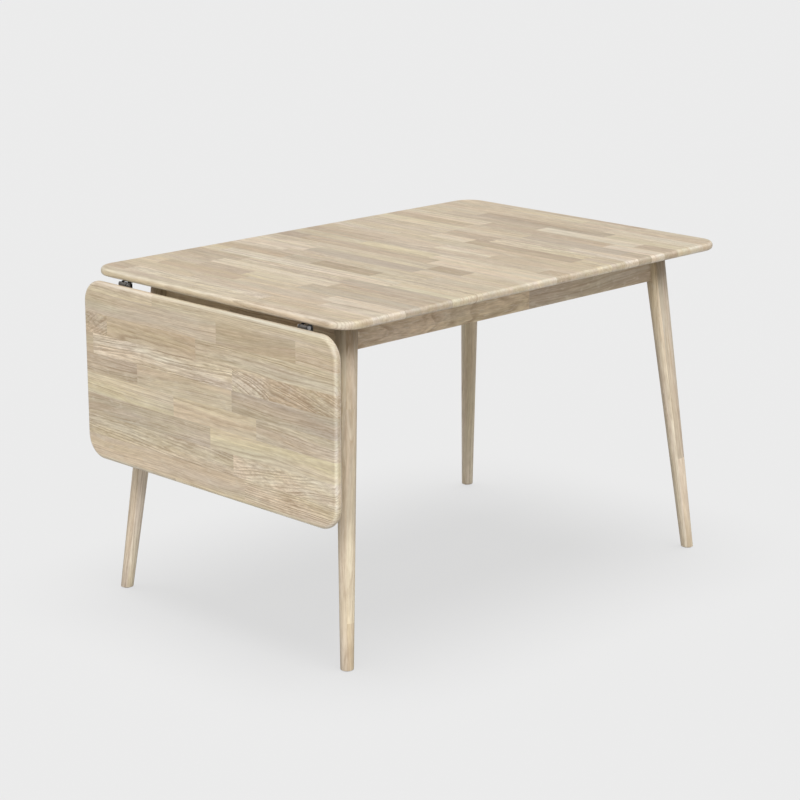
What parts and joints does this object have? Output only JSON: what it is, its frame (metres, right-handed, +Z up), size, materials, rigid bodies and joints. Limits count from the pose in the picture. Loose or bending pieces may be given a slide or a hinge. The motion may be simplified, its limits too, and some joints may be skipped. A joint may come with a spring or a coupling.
{
  "type": "drop-leaf table",
  "caption": "Oak dining table with tapered splayed legs and a hanging drop leaf on folding bracket hinges at one short end.",
  "frame": {"origin": "on the floor, under the middle of the outline with the leaf hanging", "axes": "+X along the table away from the leaf, +Y across it, +Z up"},
  "size_m": [1.2238, 0.8, 0.74],
  "materials": {
    "oak": "pale matt lacquer",
    "block_wood": "raw sanded",
    "black_steel": "satin powder coat",
    "grey_steel": "satin grey plating",
    "zinc_steel": "bright zinc",
    "dark_screw_steel": "black zinc",
    "bare_steel": "drawn and oiled",
    "nylon": "matt"
  },
  "bodies": {
    "table": {"table_top": "oak", "apron_front": "oak", "apron_back": "oak", "apron_leaf_end": "oak", "apron_far_end": "oak", "leg_front_left": "oak", "glide_front_left": "nylon", "corner_block_front_left": "block_wood", "leg_front_right": "oak", "glide_front_right": "nylon", "corner_block_front_right": "block_wood", "leg_back_left": "oak", "glide_back_left": "nylon", "corner_block_back_left": "block_wood", "leg_back_right": "oak", "glide_back_right": "nylon", "corner_block_back_right": "block_wood", "hanger_bolts": "zinc_steel", "bolt_washers": "zinc_steel", "bolt_nuts": "zinc_steel", "block_screws": "zinc_steel", "angle_brackets": "zinc_steel", "angle_screws": "zinc_steel", "hinge_table_screws": "dark_screw_steel", "hinge_bracket_front": "black_steel", "hinge_bracket_back": "black_steel"},
    "leaf": {"drop_leaf": "oak", "hinge_leaf_screws": "dark_screw_steel", "hinge_arm_front": "grey_steel", "hinge_arm_back": "grey_steel", "hinge_pin_front": "bare_steel", "hinge_pin_back": "bare_steel", "catch_pin_front": "bare_steel", "catch_pin_back": "bare_steel", "catch_spring_front": "bare_steel", "catch_spring_back": "bare_steel"},
    "catch_front": {"catch_lever_front": "black_steel"},
    "catch_back": {"catch_lever_back": "black_steel"}
  },
  "joints": [
    {"name": "leaf_hinge", "type": "hinge", "parent": "table", "child": "leaf", "pos_m": [-0.58815, 0, 0.7163], "axis": [0, 1, 0], "range_deg": [0, 90]},
    {"name": "catch_front_pivot", "type": "hinge", "parent": "leaf", "child": "catch_front", "pos_m": [-0.58165, -0.285, 0.6863], "axis": [0, 1, 0], "range_deg": [-4.5, 8], "stiffness_Nm_per_rad": 0.2, "springref_deg": -17.19, "deforming": ["catch_spring_front"]},
    {"name": "catch_back_pivot", "type": "hinge", "parent": "leaf", "child": "catch_back", "pos_m": [-0.58165, 0.285, 0.6863], "axis": [0, 1, 0], "range_deg": [-4.5, 8], "stiffness_Nm_per_rad": 0.2, "springref_deg": -17.19, "deforming": ["catch_spring_back"]}
  ]
}
